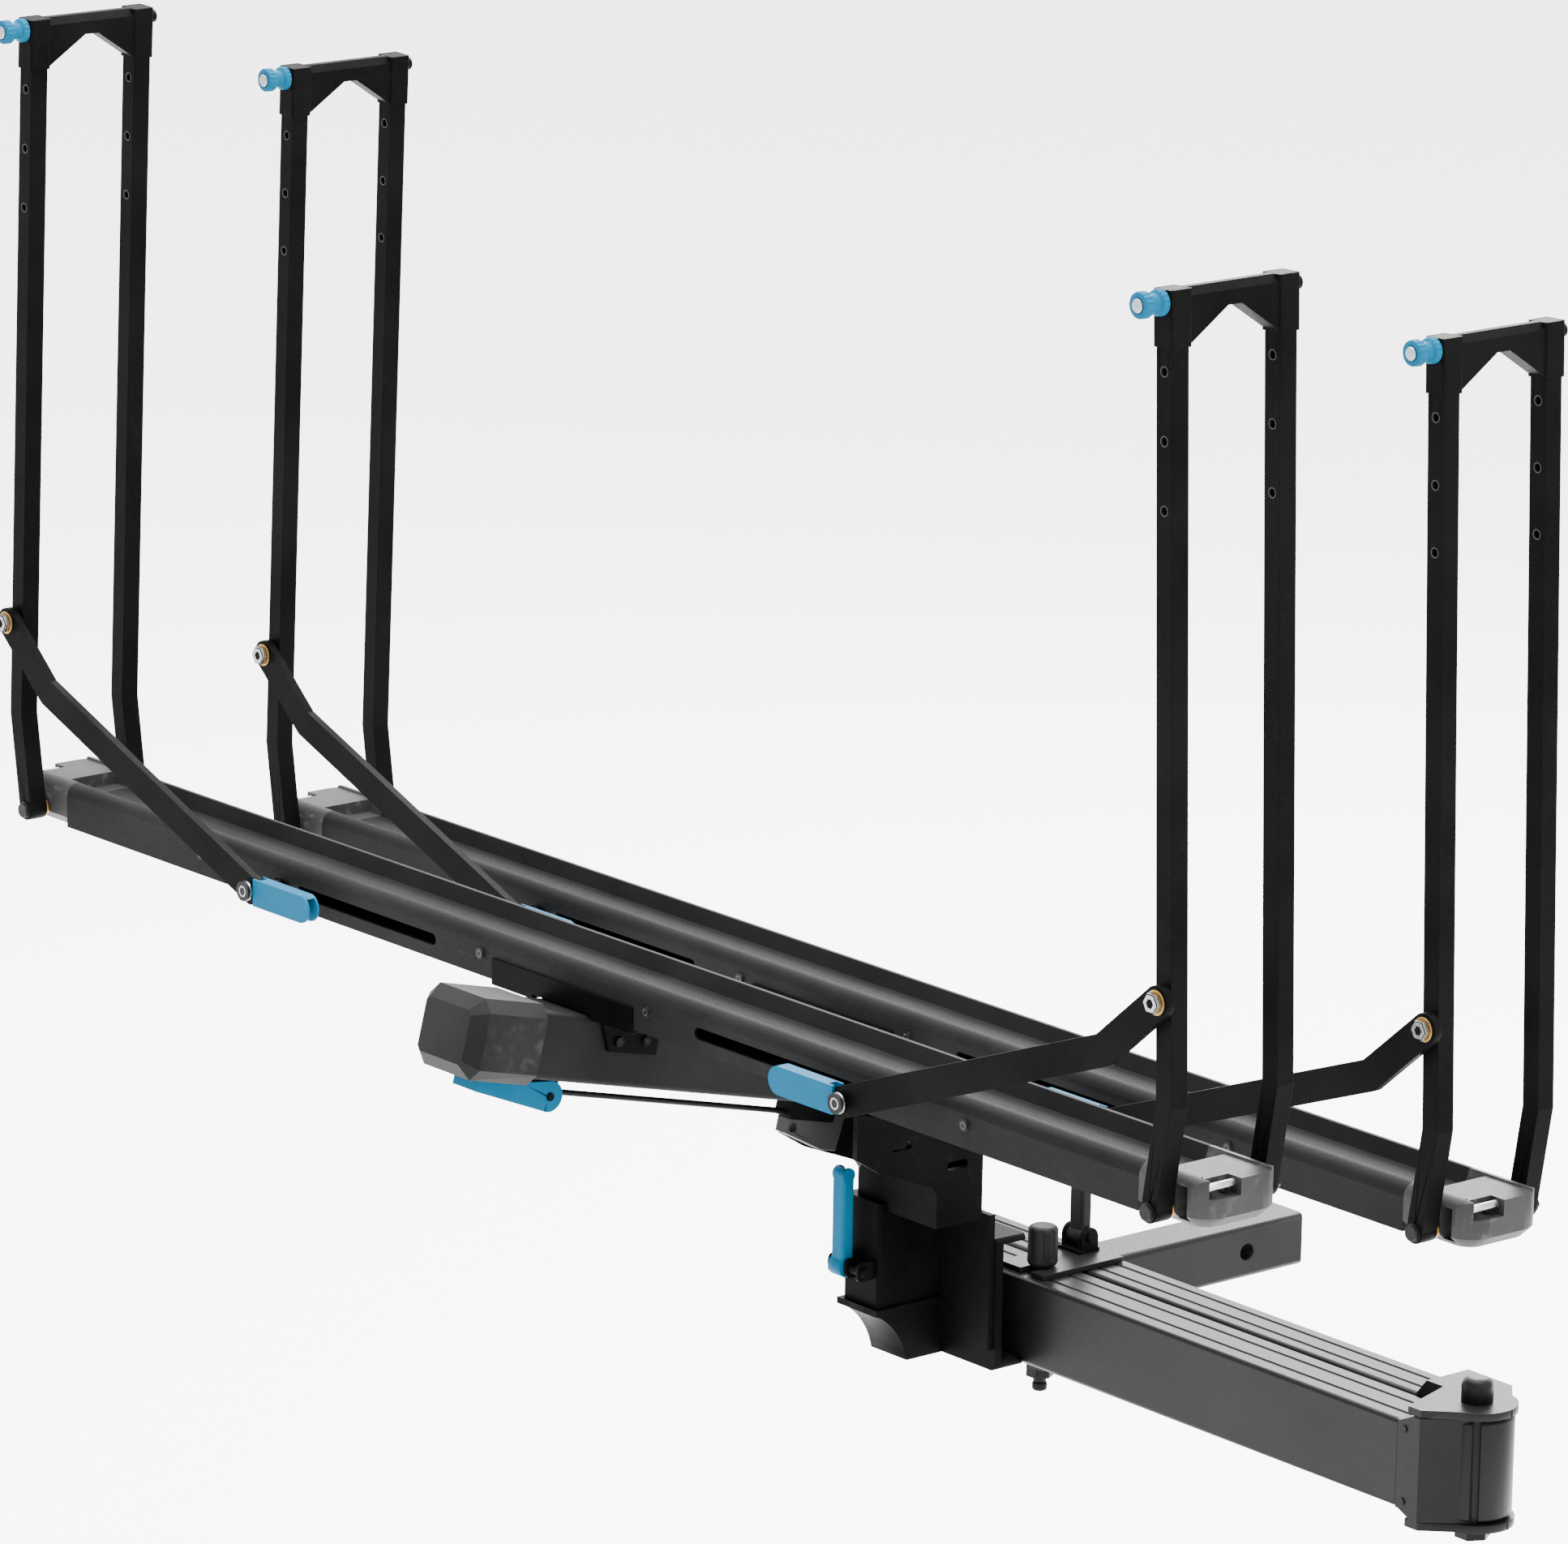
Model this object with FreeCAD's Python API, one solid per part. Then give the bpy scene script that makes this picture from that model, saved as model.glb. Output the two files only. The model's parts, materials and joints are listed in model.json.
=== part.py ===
"""Two-bike platform rack on a swing-away arm for a 2 inch hitch receiver.

Millimetres. The origin is the centre of the hitch pin hole. +Y points to the car,
+X runs along the trays towards the swing pivot and +Z is up.
"""
import FreeCAD, Part
import os
from math import atan2, cos, degrees, pi, radians, sin, sqrt

V = FreeCAD.Vector
X_AXIS, Y_AXIS, Z_AXIS = V(1, 0, 0), V(0, 1, 0), V(0, 0, 1)

# ---- driving dimensions -------------------------------------------------------------
RUN_GAP = 0.05              # radial clearance of a shaft in its bore
FREE_GAP = 0.5              # gap between plates that slide past each other

HITCH_TUBE = 50.8           # square shank for a 2 inch receiver
HITCH_WALL = 4.8
PIN_HOLE_R = 8.0
SHANK_END_Y = 70.0          # open end of the shank, measured from the pin hole

ARM_H = 80.0                # both lateral arms are 80 mm tall
ARM_WALL = 4.0
FIXED_W = 50.0
SWING_W = 58.0
FIXED_FRONT_Y = -192.0      # car side of the fixed arm, where the shank is welded
ARM_SPACE = 4.0
FIXED_BACK_Y = FIXED_FRONT_Y - FIXED_W
SWING_FRONT_Y = FIXED_BACK_Y - ARM_SPACE
SWING_BACK_Y = SWING_FRONT_Y - SWING_W
FIXED_X = (-105.0, 505.0)
SWING_X = (-48.0, 547.0)

PIVOT_X, PIVOT_Y = 584.0, SWING_FRONT_Y      # vertical swing pivot
PIVOT_R = 9.5
KNUCKLE_R = 33.5
KNUCKLE_H = 47.0            # half height of the knuckle, which is taller than the arm
CLEVIS_R = 36.0
CLEVIS_T = 7.0

FLANGE_X = (-62.0, 58.0)    # box flange on the front of the swing arm
FLANGE_Y = -338.0
FLANGE_Z = (-41.0, 84.0)
COLUMN_X = (-65.0, -15.0)   # upright box that stands on the left half of the flange
COLUMN_Y = -415.0
DECK_Z = (106.0, 113.0)     # plate between the column and the yoke
DECK_Y = -408.0
YOKE_IN_X = 48.5            # yoke plates on both sides of the tilting spine
YOKE_OUT_X = 54.5
YOKE_R = 18.0
YOKE_WEB, YOKE_WEB_TOP = 5.0, 182.0     # cross webs that close the yoke below the spine

TILT = radians(13.8)        # the spine climbs away from the car
TILT_Y, TILT_Z = -372.0, 232.0
TILT_BOLT_R = 6.0
SPINE_W, SPINE_H, SPINE_WALL = 76.0, 60.0, 4.0
SPINE_LEN = 552.0

TRAY_Y = {"outer": -749.0, "inner": -455.0}
TRAY_Z = {"outer": 368.0, "inner": 295.5}    # undersides of the two wheel trays
TRAY_HALF = 44.0
TRAY_H = 41.0
TRAY_END_X = 745.0
CAP_END_X = 822.0
TROUGH_HALF, TROUGH_DEPTH = 31.0, 14.0
TRAY_BOLT_X = (116.0, 532.0)

FOOT_X = 781.0              # hoop pivot, from the middle of the tray
FOOT_H = 12.0               # hoop pivot above the tray's underside
LEG = 18.0                  # square leg tube
LEG_WALL = 2.0
LEG_Y = 57.0                # legs stand on both sides of the tray
BEND_X, BEND_H = 14.5, 90.0             # the legs splay outwards up to this bend
TOP_X, TOP_H = -10.5, 744.0             # then lean slightly inwards to the top
AXLE_R = 5.0
HOLE_PITCH, LEG_HOLE_R = 55.0, 4.5
CROSSBAR_H, COLLAR = 46.0, 22.0
KNOB_DOWN = 10.0             # knob axis and first adjustment hole below the top of the leg

SLIDER_X, SLIDER_H = 367.0, 17.0        # brace foot, from the hoop pivot and above the tray
SLIDER_TRAVEL = 226.1
BRACE_BOLT_X, BRACE_BOLT_H = 14.0, 178.0
BRACE_BEND_X, BRACE_BEND_H = -49.0, 124.0
BRACE_W, BRACE_T = 27.0, 7.5
BRACE_IN_Y = LEG_Y + LEG / 2 + 2.7
LEVER_LEN = 92.0

TRAYS = ("outer", "inner")
SIDES = {"left": -1, "right": 1}

parts = {}


# ---- helpers ------------------------------------------------------------------------
def box(x0, x1, y0, y1, z0, z1):
    low = V(min(x0, x1), min(y0, y1), min(z0, z1))
    return Part.makeBox(abs(x1 - x0), abs(y1 - y0), abs(z1 - z0), low)


def rod(start, end, r):
    line = end - start
    return Part.makeCylinder(r, line.Length, start, line)


def rod_x(x0, x1, y, z, r):
    return rod(V(x0, y, z), V(x1, y, z), r)


def rod_y(x, y0, y1, z, r):
    return rod(V(x, y0, z), V(x, y1, z), r)


def rod_z(x, y, z0, z1, r):
    return rod(V(x, y, z0), V(x, y, z1), r)


def hex_y(x, y0, y1, z, across):
    corners = [V(x + across / sqrt(3) * cos(k * pi / 3), y0, z + across / sqrt(3) * sin(k * pi / 3))
               for k in range(7)]
    return Part.Face(Part.makePolygon(corners)).extrude(V(0, y1 - y0, 0))


def hex_x(x0, x1, y, z, across):
    corners = [V(x0, y + across / sqrt(3) * cos(k * pi / 3), z + across / sqrt(3) * sin(k * pi / 3))
               for k in range(7)]
    return Part.Face(Part.makePolygon(corners)).extrude(V(x1 - x0, 0, 0))


def hex_z(x, y, z0, z1, across):
    corners = [V(x + across / sqrt(3) * cos(k * pi / 3), y + across / sqrt(3) * sin(k * pi / 3), z0)
               for k in range(7)]
    return Part.Face(Part.makePolygon(corners)).extrude(V(0, 0, z1 - z0))


def plate_x(outline, x0, x1):
    """Plate normal to X from a closed (y, z) outline."""
    points = [V(x0, y, z) for y, z in outline]
    return Part.Face(Part.makePolygon(points + points[:1])).extrude(V(x1 - x0, 0, 0))


def plate_y(outline, y0, y1):
    """Plate normal to Y from a closed (x, z) outline."""
    points = [V(x, y0, z) for x, z in outline]
    return Part.Face(Part.makePolygon(points + points[:1])).extrude(V(0, y1 - y0, 0))


def rounded(shape, radius, direction):
    """Fillet every straight edge that runs along a direction."""
    edges = []
    for edge in shape.Edges:
        if edge.Curve.TypeId != "Part::GeomLine" or edge.Length < 1e-6:
            continue
        along = (edge.Vertexes[1].Point - edge.Vertexes[0].Point).normalize()
        if abs(along.dot(direction)) > 0.999:
            edges.append(edge)
    return shape.makeFillet(radius, edges)


def tube_x(x0, x1, y0, y1, z0, z1, wall, radius):
    outer = rounded(box(x0, x1, y0, y1, z0, z1), radius, X_AXIS)
    inner = rounded(box(x0 - 1, x1 + 1, y0 + wall, y1 - wall, z0 + wall, z1 - wall), radius / 2, X_AXIS)
    return outer.cut(inner)


def on_spine(u, w):
    """Point on the spine: u along it from the tilt bolt, w square to it."""
    return V(0, TILT_Y - u * cos(TILT) + w * sin(TILT), TILT_Z + u * sin(TILT) + w * cos(TILT))


def tilted(shape):
    """Move a shape drawn with u along -Y and w along +Z, from the tilt bolt, onto the spine."""
    moved = shape.copy()
    moved.rotate(V(0, 0, 0), X_AXIS, -degrees(TILT))
    moved.translate(V(0, TILT_Y, TILT_Z))
    return moved


def mirrored(shape, side):
    return shape if side > 0 else shape.mirror(V(0, 0, 0), X_AXIS)


def place(shape, tray, side=1):
    """Move a shape drawn for the right half of a tray at the origin onto its tray and side."""
    moved = mirrored(shape, side).copy()
    moved.translate(V(0, TRAY_Y[tray], TRAY_Z[tray]))
    return moved


# ---- hitch shank and fixed arm --------------------------------------------------------
def hitch_shank():
    half = HITCH_TUBE / 2
    inside = half - HITCH_WALL
    outer = rounded(box(-half, half, FIXED_FRONT_Y, SHANK_END_Y, -half, half), 5, Y_AXIS)
    bore = box(-inside, inside, FIXED_FRONT_Y - 1, SHANK_END_Y + 1, -inside, inside)
    return outer.cut(bore).cut(rod_x(-half - 1, half + 1, 0, 0, PIN_HOLE_R))


def grooved_arm(x_range, y0, y1):
    """Lateral arm: a box section with two shallow grooves along its top."""
    arm = tube_x(x_range[0], x_range[1], y0, y1, -ARM_H / 2, ARM_H / 2, ARM_WALL, 4)
    for share in (0.3, 0.7):
        groove_y = y0 + share * (y1 - y0)
        arm = arm.cut(box(x_range[0], x_range[1], groove_y - 1.5, groove_y + 1.5,
                          ARM_H / 2 - 1.2, ARM_H / 2 + 1))
    return arm


def arm_spigot(x0, x1, y0, y1):
    """Tongue that fits the inside of a lateral arm lying between y0 and y1."""
    inset = ARM_WALL + 0.1
    half = ARM_H / 2 - inset
    return rounded(box(x0, x1, y0 + inset, y1 - inset, -half, half), 3, X_AXIS)


def arm_plug(x0, y0, y1):
    """Moulded plug for the open left end of a lateral arm."""
    flange = rounded(box(x0 - 4, x0, y0, y1, -ARM_H / 2, ARM_H / 2), 4, X_AXIS)
    return flange.fuse(arm_spigot(x0, x0 + 14, y0, y1))


CLEVIS_TOP = KNUCKLE_H + FREE_GAP + CLEVIS_T


def pivot_clevis():
    """End fitting of the fixed arm: two cheeks that hold the swing knuckle."""
    cheek_x = FIXED_X[1] + 12
    stem = arm_spigot(FIXED_X[1] - 30, FIXED_X[1] + 1, FIXED_BACK_Y, FIXED_FRONT_Y)
    head_x = FIXED_X[1] + 33
    profile = [(FIXED_X[1], -ARM_H / 2), (cheek_x, -CLEVIS_TOP), (head_x, -CLEVIS_TOP),
               (head_x, CLEVIS_TOP), (cheek_x, CLEVIS_TOP), (FIXED_X[1], ARM_H / 2)]
    body = stem.fuse(plate_y(profile, FIXED_BACK_Y, FIXED_FRONT_Y))
    for sign in (-1, 1):
        low = sign * (CLEVIS_TOP - CLEVIS_T)
        outline = [V(cheek_x, FIXED_FRONT_Y, low), V(PIVOT_X - 12, FIXED_FRONT_Y, low),
                   V(PIVOT_X + CLEVIS_R, PIVOT_Y + 8, low), V(PIVOT_X + 22, PIVOT_Y - 24, low),
                   V(PIVOT_X - 10, SWING_BACK_Y + 1, low), V(PIVOT_X - 26, SWING_BACK_Y + 1, low),
                   V(head_x, FIXED_BACK_Y, low), V(cheek_x, FIXED_BACK_Y, low)]
        cheek = Part.Face(Part.makePolygon(outline + outline[:1])).extrude(V(0, 0, sign * CLEVIS_T))
        body = body.fuse(cheek).fuse(rod_z(PIVOT_X, PIVOT_Y, low, low + sign * CLEVIS_T, CLEVIS_R))
    return body.removeSplitter().cut(rod_z(PIVOT_X, PIVOT_Y, -60, 60, PIVOT_R))


def pivot_bolt():
    top, head_h = CLEVIS_TOP, 22.0
    shank = rod_z(PIVOT_X, PIVOT_Y, -top - 11, top, PIVOT_R)
    head = rod_z(PIVOT_X, PIVOT_Y, top, top + head_h, 14)
    rim = [e for e in head.Edges if abs(e.BoundBox.ZMin - top - head_h) < 0.01]
    return shank.fuse(head.makeFillet(8, rim))


def pivot_nut():
    top = CLEVIS_TOP
    nut = hex_z(PIVOT_X, PIVOT_Y, -top - 14, -top - 2, 28)
    washer = rod_z(PIVOT_X, PIVOT_Y, -top - 2, -top, 17)
    return nut.fuse(washer).cut(rod_z(PIVOT_X, PIVOT_Y, -top - 15, -top, PIVOT_R))


CLAMP_X, CLAMP_Y = 49.0, (SWING_FRONT_Y + SWING_BACK_Y) / 2
CLAMP_R = 6.0


def latch_tongues():
    """Two forked plates from the fixed arm that the clamp bolt tightens onto the swing arm."""
    body = None
    for sign in (-1, 1):
        low = sign * (ARM_H / 2 + 0.4)
        high = low + sign * 5
        plate = box(CLAMP_X - 36, CLAMP_X + 24, CLAMP_Y - 20, FIXED_FRONT_Y - 6, low, high)
        half = CLAMP_R + 1.5
        plate = plate.cut(box(CLAMP_X - half, CLAMP_X + half, CLAMP_Y - 30, CLAMP_Y + half, low, high))
        foot = box(CLAMP_X - 20, CLAMP_X + 20, FIXED_BACK_Y + 4, FIXED_FRONT_Y - 10, sign * ARM_H / 2, low)
        plate = plate.fuse(foot)
        body = plate if body is None else Part.makeCompound([body, plate])
    return body


LATCH_X, LATCH_Y, LATCH_Z = 31.0, -214.0, 58.5


def latch_base():
    """Two ears on top of the fixed arm that carry the upright safety latch."""
    low = ARM_H / 2 + 5.4
    base = box(LATCH_X - 15, LATCH_X + 15, LATCH_Y - 14, LATCH_Y + 11, low, low + 3)
    for sign in (-1, 1):
        ear = box(LATCH_X + sign * 10, LATCH_X + sign * 14, LATCH_Y - 10, LATCH_Y + 10, low + 2, LATCH_Z)
        eye = rod_x(LATCH_X + sign * 10, LATCH_X + sign * 14, LATCH_Y, LATCH_Z, 10)
        base = base.fuse(ear).fuse(eye)
    pin = rod_x(LATCH_X - 17, LATCH_X + 17, LATCH_Y, LATCH_Z, 4)
    return base.cut(rod_x(LATCH_X - 16, LATCH_X + 16, LATCH_Y, LATCH_Z, 3.9)).fuse(pin)


def latch_lever():
    half_x = 9.2
    eye = rod_x(LATCH_X - half_x, LATCH_X + half_x, LATCH_Y, LATCH_Z, 9)
    stem = rounded(box(LATCH_X - half_x, LATCH_X + half_x, LATCH_Y - 6, LATCH_Y + 6,
                       LATCH_Z, LATCH_Z + 118), 3, Z_AXIS)
    return eye.fuse(stem).cut(rod_x(LATCH_X - 20, LATCH_X + 20, LATCH_Y, LATCH_Z, 4 + RUN_GAP))


# ---- swing arm -------------------------------------------------------------------------
def swing_arm():
    arm = grooved_arm(SWING_X, SWING_BACK_Y, SWING_FRONT_Y)
    return arm.cut(rod_z(CLAMP_X, CLAMP_Y, -50, 50, CLAMP_R + RUN_GAP))


def swing_knuckle():
    """End fitting of the swing arm: a deeper block that narrows to a round barrel."""
    stem = arm_spigot(SWING_X[1] - 40, SWING_X[1] + 1, SWING_BACK_Y, SWING_FRONT_Y)
    outline = [V(SWING_X[1], SWING_BACK_Y, -KNUCKLE_H), V(PIVOT_X - 10, SWING_BACK_Y, -KNUCKLE_H),
               V(PIVOT_X + 21, PIVOT_Y - 22, -KNUCKLE_H), V(PIVOT_X, PIVOT_Y, -KNUCKLE_H),
               V(SWING_X[1], SWING_FRONT_Y, -KNUCKLE_H)]
    block = Part.Face(Part.makePolygon(outline + outline[:1])).extrude(V(0, 0, 2 * KNUCKLE_H))
    for sign in (-1, 1):
        step = [(SWING_X[1] - 1, sign * ARM_H / 2), (SWING_X[1] + 3, sign * ARM_H / 2),
                (SWING_X[1] + 18, sign * KNUCKLE_H), (SWING_X[1] + 18, sign * 60),
                (SWING_X[1] - 1, sign * 60)]
        block = block.cut(plate_y(step, SWING_BACK_Y - 1, SWING_FRONT_Y + 1))
    barrel = rod_z(PIVOT_X, PIVOT_Y, -KNUCKLE_H, KNUCKLE_H, KNUCKLE_R)
    block = block.fuse(barrel.makeChamfer(4, [e for e in barrel.Edges if e.Length > 100]))
    block = block.fuse(stem)
    groove = rod_z(PIVOT_X + 24.5, PIVOT_Y - 23, -60, 60, 4)
    return block.cut(groove).cut(rod_z(PIVOT_X, PIVOT_Y, -60, 60, PIVOT_R + RUN_GAP))


def knuckle_screws():
    """Small button-head screws just outside the joint between arm and knuckle."""
    screws = []
    for z in (-33, 33):
        screws.append(rod_y(SWING_X[1] + 8, SWING_BACK_Y - 1.2, SWING_BACK_Y, z, 3.5))
    return Part.makeCompound(screws)


def mast_flange():
    """Flange against the arm, open at its right end, with the web that rises to the deck."""
    x0, x1 = FLANGE_X
    z0, z1 = FLANGE_Z
    body = rounded(box(x0, x1, FLANGE_Y, SWING_BACK_Y, z0, z1), 5, Y_AXIS)
    body = body.cut(box(x0 + 8, x1 + 1, FLANGE_Y + 8, SWING_BACK_Y + 1, z0 + 6, z1 - 6))
    return body.fuse(box(x0, YOKE_OUT_X, FLANGE_Y - 6, FLANGE_Y, z0 + 20, DECK_Z[0] + 1))


LIP_Z = (8.0, 14.0)


def mast_column():
    """Upright box in front of the flange, with a lip above its swept foot."""
    x0, x1 = COLUMN_X
    back = FLANGE_Y
    body = rounded(box(x0, x1, COLUMN_Y, back, LIP_Z[0], DECK_Z[1]), 4, Z_AXIS)
    body = body.cut(box(x0 + 5, x1 - 5, COLUMN_Y + 5, back - 5, LIP_Z[1] + 1, DECK_Z[0]))
    body = body.fuse(box(x0 - 2, x1 + 4, COLUMN_Y - 5, back, LIP_Z[0], LIP_Z[1]))
    foot = [V(x0, back, LIP_Z[0]), V(x0, COLUMN_Y - 3, LIP_Z[0]), V(x0, COLUMN_Y + 35, FLANGE_Z[0]),
            V(x0, back, FLANGE_Z[0])]
    sweep = Part.Arc(foot[1], V(x0, COLUMN_Y + 20, -10), foot[2]).toShape()
    edges = [Part.makeLine(foot[0], foot[1]), sweep,
             Part.makeLine(foot[2], foot[3]), Part.makeLine(foot[3], foot[0])]
    block = Part.Face(Part.Wire(edges)).extrude(V(x1 - x0, 0, 0))
    return body.fuse(block.cut(box(x0 + 6, x1 - 6, COLUMN_Y + 40, back - 6, FLANGE_Z[0] - 1, 2)))


def yoke_plate(x0, x1):
    """Side plate of the yoke: round at the tilt bolt, reaching forward under the spine."""
    under = -SPINE_H / 2 - 4.0
    near, far = on_spine(34, under), on_spine(126, under)
    outline = [(TILT_Y + YOKE_R, DECK_Z[0]), (TILT_Y + YOKE_R, TILT_Z), (TILT_Y - YOKE_R, TILT_Z),
               (near.y, near.z), (far.y, far.z), (far.y, far.z - 42), (COLUMN_Y - 60, 170),
               (DECK_Y - 6, 146), (DECK_Y, 138), (DECK_Y, DECK_Z[0])]
    plate = plate_x(outline, x0, x1)
    return plate.fuse(rod_x(x0, x1, TILT_Y, TILT_Z, YOKE_R)).removeSplitter()


CAM_X, CAM_Y, CAM_Z = -50.0, COLUMN_Y - 14.0, 50.0


def mast():
    """Welded post of the rack: flange, column, deck and the boxed yoke that the spine tilts in."""
    body = mast_flange().fuse(mast_column())
    body = body.fuse(box(COLUMN_X[0], YOKE_OUT_X, DECK_Y, TILT_Y + YOKE_R, DECK_Z[0], DECK_Z[1]))
    for sign in (-1, 1):
        body = body.fuse(yoke_plate(sign * YOKE_IN_X, sign * YOKE_OUT_X))
    for y in (DECK_Y, TILT_Y + YOKE_R - YOKE_WEB):
        body = body.fuse(box(-YOKE_IN_X - 1, YOKE_IN_X + 1, y, y + YOKE_WEB, DECK_Z[0] + 1, YOKE_WEB_TOP))
    for y, z in ((-384.0, 158.0), (-450.0, 187.0)):
        body = body.cut(rounded(box(-60, 60, y - 12, y + 12, z, z + 8), 3.9, X_AXIS))
    for x in (CAM_X - 13, CAM_X + 10, CAM_X + 26):
        ear = box(x, x + 3, COLUMN_Y - 20, COLUMN_Y + 1, CAM_Z - 9, CAM_Z + 9)
        body = body.fuse(rounded(ear, 5, X_AXIS))
    body = body.cut(rod_x(-60, 60, TILT_Y, TILT_Z, TILT_BOLT_R))
    return body.fuse(rod_x(CAM_X - 16, CAM_X + 34, CAM_Y, CAM_Z, 4)).removeSplitter()


def cam_lever():
    """Upright cam lever in front of the column: a slim channel with a round cam end."""
    half, reach = 8.0, 86.0
    x0, x1 = CAM_X - half, CAM_X + half
    bar = rounded(box(x0, x1, CAM_Y - 7, CAM_Y + 7, CAM_Z, CAM_Z + reach), 3, Z_AXIS)
    bar = bar.fuse(rod_x(x0, x1, CAM_Y, CAM_Z, 10))
    bar = bar.fuse(rod_x(x0, x1, CAM_Y, CAM_Z + reach, 7))
    channel = box(x0 + 3, x1 - 3, CAM_Y - 2, CAM_Y + 10, CAM_Z + 14, CAM_Z + reach + 8)
    return bar.cut(channel).cut(rod_x(x0 - 1, x1 + 1, CAM_Y, CAM_Z, 4 + RUN_GAP)).removeSplitter()


def tilt_bolt():
    out = YOKE_OUT_X
    shank = rod_x(-out - 13, out + 2, TILT_Y, TILT_Z, TILT_BOLT_R)
    washer = rod_x(out, out + 2, TILT_Y, TILT_Z, 14)
    head = hex_x(out + 2, out + 10, TILT_Y, TILT_Z, 19)
    nut = hex_x(-out - 11, -out - 2, TILT_Y, TILT_Z, 19)
    far_washer = rod_x(-out - 2, -out, TILT_Y, TILT_Z, 14)
    spacers = rod_x(-YOKE_IN_X, -SPINE_W / 2 - 0.3, TILT_Y, TILT_Z, 13)
    spacers = spacers.fuse(rod_x(SPINE_W / 2 + 0.3, YOKE_IN_X, TILT_Y, TILT_Z, 13))
    return shank.fuse(washer).fuse(head).fuse(nut).fuse(far_washer).fuse(spacers)


def clamp_knob():
    """Hand screw that clamps the swing arm to the tongues: knob, stud and foot nut."""
    top = ARM_H / 2 + 6.0
    stud = rod_z(CLAMP_X, CLAMP_Y, -ARM_H / 2 - 24, top, CLAMP_R)
    knob = rod_z(CLAMP_X, CLAMP_Y, top, top + 38, 14)
    knob = knob.makeFillet(5, knob.Edges[:1] + knob.Edges[2:3])
    for k in range(8):
        angle = k * pi / 4
        flute = rod_z(CLAMP_X + 16.5 * cos(angle), CLAMP_Y + 16.5 * sin(angle), top + 8, top + 40, 4)
        knob = knob.cut(flute)
    nut = hex_z(CLAMP_X, CLAMP_Y, -ARM_H / 2 - 19, -ARM_H / 2 - 6, 22)
    foot = rod_z(CLAMP_X, CLAMP_Y, -ARM_H / 2 - 33, -ARM_H / 2 - 24, 7)
    return stud.fuse(knob).fuse(nut).fuse(foot.makeFillet(3, foot.Edges[:1] + foot.Edges[2:3]))


# ---- spine --------------------------------------------------------------------------------
def spine_tube():
    half_w, half_h = SPINE_W / 2, SPINE_H / 2
    outer = rounded(box(-half_w, half_w, -SPINE_LEN, 0, -half_h, half_h), 6, Y_AXIS)
    outer = outer.common(box(-50, 50, -SPINE_LEN, 0, -50, 50))
    root = rod_x(-half_w, half_w, 0, 0, half_h - 6)
    inner = rounded(box(-half_w + SPINE_WALL, half_w - SPINE_WALL, -SPINE_LEN - 1, -22,
                        -half_h + SPINE_WALL, half_h - SPINE_WALL), 3, Y_AXIS)
    body = outer.fuse(root).cut(inner)
    body = body.cut(rod_x(-50, 50, 0, 0, TILT_BOLT_R + RUN_GAP))
    return tilted(body)


def spine_cap():
    """Moulded cover on the free end of the spine: faceted and a little larger than the tube."""
    half_w, half_h, end = SPINE_W / 2 + 5, SPINE_H / 2 + 6, -SPINE_LEN - 14
    shell = box(-half_w, half_w, end, -SPINE_LEN + 62, -half_h, half_h)
    shell = shell.makeChamfer(11, [e for e in shell.Edges if e.BoundBox.YLength > 70])
    shell = shell.makeChamfer(12, [e for e in shell.Edges if e.BoundBox.YMax < end + 0.01])
    socket = rounded(box(-SPINE_W / 2, SPINE_W / 2, -SPINE_LEN, -SPINE_LEN + 70,
                         -SPINE_H / 2, SPINE_H / 2), 6, Y_AXIS)
    return tilted(shell.cut(socket))


def tray_saddle():
    """Bracket that bolts a level tray to the climbing spine, drawn under a tray at the origin."""
    wide, side_y = 98.0, TRAY_HALF + 2.0
    plate = box(-wide, wide, -side_y, side_y, -4, 0)
    plate = plate.cut(box(-40, 40, -side_y - 1, -30, -5, 1))
    for sign in (-1, 1):
        plate = plate.fuse(box(-wide, wide, sign * TRAY_HALF, sign * side_y, -4, 20))
        cheek = plate_x([(-34, -3), (34, -3), (26, -48), (-26, -36)],
                        sign * SPINE_W / 2, sign * (SPINE_W / 2 + 5))
        plate = plate.fuse(cheek)
    return plate.cut(box(-40, 40, -side_y - 1, -TRAY_HALF, -5, 0))


def saddle_bolts():
    """Cross bolts through the saddle cheeks and the spine's side walls."""
    bolts = []
    for sign in (-1, 1):
        for y, z in ((-16, -28), (14, -32)):
            x0 = sign * (SPINE_W / 2 + 5)
            bolts.append(hex_x(x0, x0 + sign * 3, y, z, 8))
    return Part.makeCompound(bolts)


LEVER_U, LEVER_W = 448.0, -SPINE_H / 2 - 17.0


def release_bracket():
    """Two ears under the spine that hold the release lever."""
    body = box(-12.5, 12.5, -LEVER_U - 16, -LEVER_U + 16, -SPINE_H / 2 - 3, -SPINE_H / 2)
    for sign in (-1, 1):
        x0, x1 = sign * 9, sign * 12.5
        body = body.fuse(box(x0, x1, -LEVER_U - 9, -LEVER_U + 9, LEVER_W, -SPINE_H / 2))
        body = body.fuse(rod_x(x0, x1, -LEVER_U, LEVER_W, 9))
    pin = rod_x(-17.5, 17.5, -LEVER_U, LEVER_W, 3.5)
    body = body.cut(rod_x(-17, 17, -LEVER_U, LEVER_W, 3.4)).fuse(pin)
    return tilted(body)


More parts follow.
